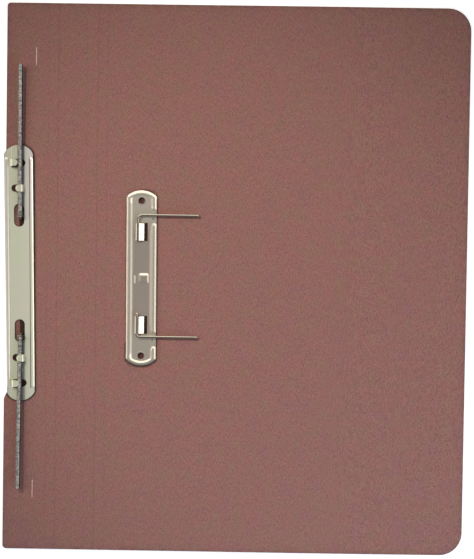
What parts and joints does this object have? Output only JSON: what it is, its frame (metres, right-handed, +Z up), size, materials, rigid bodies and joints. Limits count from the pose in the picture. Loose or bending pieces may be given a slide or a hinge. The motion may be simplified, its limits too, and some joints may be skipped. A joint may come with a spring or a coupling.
{
  "type": "spring file",
  "caption": "Open manila file folder with a scored spine, hinged wire prongs on a pressed steel plate and close-wound coil springs that slip over the prongs to transfer punched paper.",
  "frame": {"origin": "middle of the opened sheet, on the surface that the file lies on (underside of the folded front cover)", "axes": "+X across the sheet from the binding edge to the fore edge, +Y up the sheet along the spine, +Z up from the surface"},
  "size_m": [0.3052, 0.36, 0.0076],
  "materials": {
    "manila": "matt mottled manila board, rose brown",
    "pressed_steel": "thin pressed plated steel, satin with soft reflections",
    "wire": "drawn plated wire, bright",
    "spring_wire": "close-wound spring wire, dull grey"
  },
  "bodies": {
    "back": {"back_cover": "manila", "transfer_plate": "pressed_steel", "eyelet_upper": "pressed_steel", "eyelet_lower": "pressed_steel"},
    "spine": {"spine_panel": "manila"},
    "strip": {"binding_strip": "manila", "front_cover_band": "manila", "staple_upper": "wire", "staple_lower": "wire", "coil_plate": "pressed_steel", "rivet_upper": "pressed_steel", "rivet_lower": "pressed_steel"},
    "cover": {"front_cover": "manila"},
    "prong_up": {"prong_upper": "wire"},
    "prong_low": {"prong_lower": "wire"},
    "coil_up": {"coil_spring_upper": "spring_wire"},
    "coil_low": {"coil_spring_lower": "spring_wire"}
  },
  "joints": [
    {"name": "spine_fold", "type": "hinge", "parent": "back", "child": "spine", "pos_m": [-0.0852, 0, 0.002], "axis": [0, -1, 0], "range_deg": [-90, 0]},
    {"name": "strip_fold", "type": "hinge", "parent": "spine", "child": "strip", "pos_m": [-0.1241, 0, 0.002], "axis": [0, -1, 0], "range_deg": [-90, 0]},
    {"name": "cover_fold", "type": "hinge", "parent": "strip", "child": "cover", "pos_m": [-0.152, 0, 0.00075], "axis": [0, -1, 0], "range_deg": [-180, 0]},
    {"name": "prong_upper_swing", "type": "hinge", "parent": "back", "child": "prong_up", "pos_m": [-0.0647, 0.042, 0.0041], "axis": [0, -1, 0], "range_deg": [0, 170]},
    {"name": "prong_lower_swing", "type": "hinge", "parent": "back", "child": "prong_low", "pos_m": [-0.0647, -0.038, 0.0041], "axis": [0, -1, 0], "range_deg": [0, 170]},
    {"name": "coil_upper_lift", "type": "hinge", "parent": "strip", "child": "coil_up", "pos_m": [-0.14247, 0.0393, 0.005], "axis": [0.9999, 0.0157, 0], "range_deg": [0, 90], "deforming": ["coil_spring_upper"]},
    {"name": "coil_lower_lift", "type": "hinge", "parent": "strip", "child": "coil_low", "pos_m": [-0.14126, -0.03789, 0.005], "axis": [-0.9999, -0.0157, 0], "range_deg": [0, 90], "deforming": ["coil_spring_lower"]}
  ]
}
